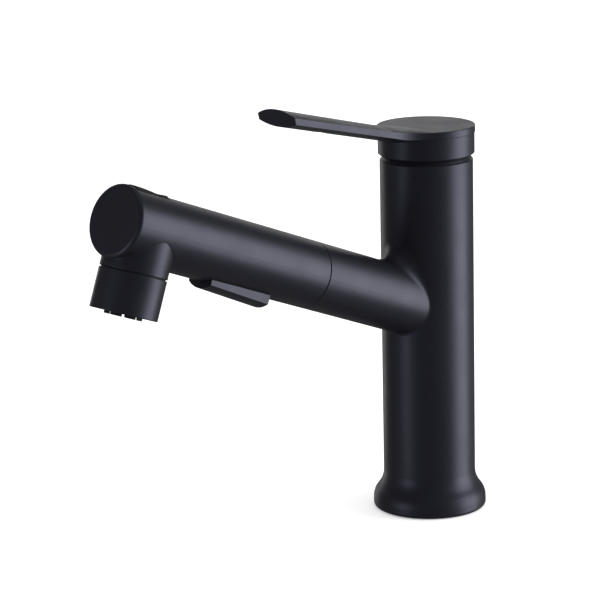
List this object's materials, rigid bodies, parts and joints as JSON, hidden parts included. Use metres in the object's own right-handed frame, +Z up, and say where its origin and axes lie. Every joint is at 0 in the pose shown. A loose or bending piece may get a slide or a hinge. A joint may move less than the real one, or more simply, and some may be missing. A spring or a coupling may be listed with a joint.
{
  "type": "pull-out basin mixer tap",
  "caption": "Single-lever basin mixer with a slanted spout that ends in a pull-out spray wand.",
  "frame": {"origin": "centre of the base's threaded mouth, on the deck face", "axes": "+Z up the column, -Y along the spout's plan direction, +X to the right seen from in front of the spout's back"},
  "size_m": [0.0564, 0.2431, 0.2155],
  "materials": {
    "black_coat": "matte black powder coat, fine satin texture",
    "black_abs": "matte black moulded plastic",
    "brass": "machined brass",
    "copper": "drawn copper tube",
    "white_acetal": "white moulded acetal",
    "grey_acetal": "grey moulded acetal",
    "alumina": "lapped alumina ceramic, stated as plastic because the list has no ceramic",
    "epdm": "black EPDM rubber",
    "silicone": "dark grey silicone rubber",
    "hose_braid": "dark grey nylon braid over a rubber tube",
    "stainless": "stainless steel"
  },
  "bodies": {
    "mixer_body": {"body_casting": "black_coat", "base_seal": "epdm", "inlet_manifold": "brass", "hot_supply_tube": "copper", "cold_supply_tube": "copper", "mixed_water_tube": "copper", "hose_guide": "grey_acetal", "socket_liner": "grey_acetal", "spray_hose": "hose_braid", "hose_coupling": "brass", "cartridge_base": "white_acetal", "cartridge_seals": "epdm", "fixed_ceramic_disc": "alumina", "cartridge_housing": "white_acetal", "cartridge_nut": "brass", "trim_dome": "black_coat"},
    "cartridge_spindle": {"stem_carrier": "white_acetal", "stem_pivot_pin": "stainless"},
    "lever_handle": {"lever_stem": "brass", "handle": "black_coat", "grub_screw": "stainless", "grub_plug": "black_coat"},
    "ceramic_slider": {"moving_ceramic_disc": "alumina", "disc_coupler": "white_acetal"},
    "hose_end": {"hose_nut": "brass"},
    "spray_wand": {"wand_shell": "black_coat", "wand_end_cap": "black_coat", "docking_tail": "grey_acetal", "tail_o_ring": "epdm", "wand_water_tube": "grey_acetal", "inlet_filter": "stainless", "check_valve_seat": "grey_acetal", "check_valve_guide": "grey_acetal", "check_valve_spring": "stainless", "diverter_block": "grey_acetal", "rocker_pin": "stainless", "finger_grip": "black_coat", "grip_screws": "stainless", "nozzle_ring": "black_coat", "nozzle_seal": "epdm", "spray_plate": "black_abs", "spray_nubs": "silicone", "chamber_divider": "grey_acetal", "aerator": "black_abs", "aerator_screen": "stainless"},
    "mode_rocker": {"spray_rocker": "black_abs"},
    "diverter_slider": {"diverter_spool": "brass", "spool_o_rings": "epdm"},
    "check_poppet": {"check_valve_poppet": "grey_acetal"}
  },
  "joints": [
    {"name": "handle_turn", "type": "hinge", "parent": "mixer_body", "child": "cartridge_spindle", "pos_m": [0, 0, 0.163], "axis": [0, 0, 1], "range_deg": [-50, 50]},
    {"name": "handle_lift", "type": "hinge", "parent": "cartridge_spindle", "child": "lever_handle", "pos_m": [0, 0, 0.163], "axis": [-1, 0, 0], "range_deg": [0, 22]},
    {"name": "disc_slide", "type": "slide", "parent": "cartridge_spindle", "child": "ceramic_slider", "axis": [0, -1, 0], "range_m": [0, 0.00538]},
    {"name": "wand_pull", "type": "slide", "parent": "mixer_body", "child": "hose_end", "axis": [0, -0.9342, 0.3567], "range_m": [0, 0.4], "deforming": ["spray_hose"]},
    {"name": "wand_swivel", "type": "hinge", "parent": "hose_end", "child": "spray_wand", "pos_m": [0, -0.07007, 0.12836], "axis": [0, -0.9342, 0.3567], "continuous": true},
    {"name": "rocker_press", "type": "hinge", "parent": "spray_wand", "child": "mode_rocker", "pos_m": [0, -0.18421, 0.18543], "axis": [1, 0, 0], "range_deg": [0, 6]},
    {"name": "diverter_slide", "type": "slide", "parent": "spray_wand", "child": "diverter_slider", "axis": [0, 0.9342, -0.3567], "range_m": [0, 0.00117]},
    {"name": "check_valve_lift", "type": "slide", "parent": "spray_wand", "child": "check_poppet", "axis": [0, -0.9342, 0.3567], "range_m": [0, 0.0015], "stiffness_N_per_m": 60, "springref_m": -0.002, "deforming": ["check_valve_spring"]}
  ],
  "couplings": [
    {"joint": "disc_slide", "follows": "handle_lift", "m_per_rad": 0.0135},
    {"joint": "rocker_press", "follows": "diverter_slide", "rad_per_m": 89.286}
  ]
}
